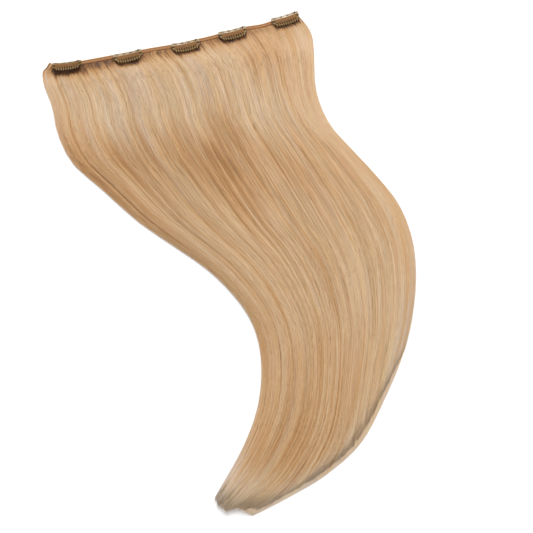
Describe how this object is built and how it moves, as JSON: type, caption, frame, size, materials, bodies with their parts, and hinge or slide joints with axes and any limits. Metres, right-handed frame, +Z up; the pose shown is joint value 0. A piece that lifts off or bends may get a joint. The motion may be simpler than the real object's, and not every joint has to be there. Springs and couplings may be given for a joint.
{
  "type": "clip-in hair extension",
  "caption": "One-piece clip-in hair extension lying flat: a sewn weft with stamped snap clips and a long fall of straight blond hair in an S curve to a blunt tip.",
  "frame": {"origin": "centre of the plan box, on the surface that the extension lies on", "axes": "+X along the weft to the right end as seen with the clips up, +Y from the hair to the sewn edge, +Z up from the surface"},
  "size_m": [0.3122, 0.4981, 0.0121],
  "materials": {
    "hair": "straight blond hair, silky, with pale and golden strands",
    "band": "sewn and bonded weft, light brown, dull",
    "clip": "khaki bronze enamel on spring steel, half gloss, worn on the edges"
  },
  "bodies": {
    "root": {"weft_band": "band", "hair_fall": "hair", "clip_1_frame": "clip", "clip_2_frame": "clip", "clip_3_frame": "clip", "clip_4_frame": "clip", "clip_5_frame": "clip"},
    "comb_1": {"clip_1_comb": "clip"},
    "comb_2": {"clip_2_comb": "clip"},
    "comb_3": {"clip_3_comb": "clip"},
    "comb_4": {"clip_4_comb": "clip"},
    "comb_5": {"clip_5_comb": "clip"}
  },
  "joints": [
    {"name": "comb_1_hinge", "type": "hinge", "parent": "root", "child": "comb_1", "pos_m": [-0.12934, 0.23965, 0.00614], "axis": [-0.9962, 0.0872, 0], "range_deg": [0, 25]},
    {"name": "comb_2_hinge", "type": "hinge", "parent": "root", "child": "comb_2", "pos_m": [-0.06776, 0.23659, 0.00528], "axis": [-0.9998, -0.0175, 0], "range_deg": [0, 25]},
    {"name": "comb_3_hinge", "type": "hinge", "parent": "root", "child": "comb_3", "pos_m": [-0.00842, 0.23547, 0.00528], "axis": [-1, 0, 0], "range_deg": [0, 25]},
    {"name": "comb_4_hinge", "type": "hinge", "parent": "root", "child": "comb_4", "pos_m": [0.04111, 0.23892, 0.00521], "axis": [-0.999, -0.0436, 0], "range_deg": [0, 25]},
    {"name": "comb_5_hinge", "type": "hinge", "parent": "root", "child": "comb_5", "pos_m": [0.09714, 0.24338, 0.00508], "axis": [-0.9936, -0.1132, 0], "range_deg": [0, 25]}
  ]
}
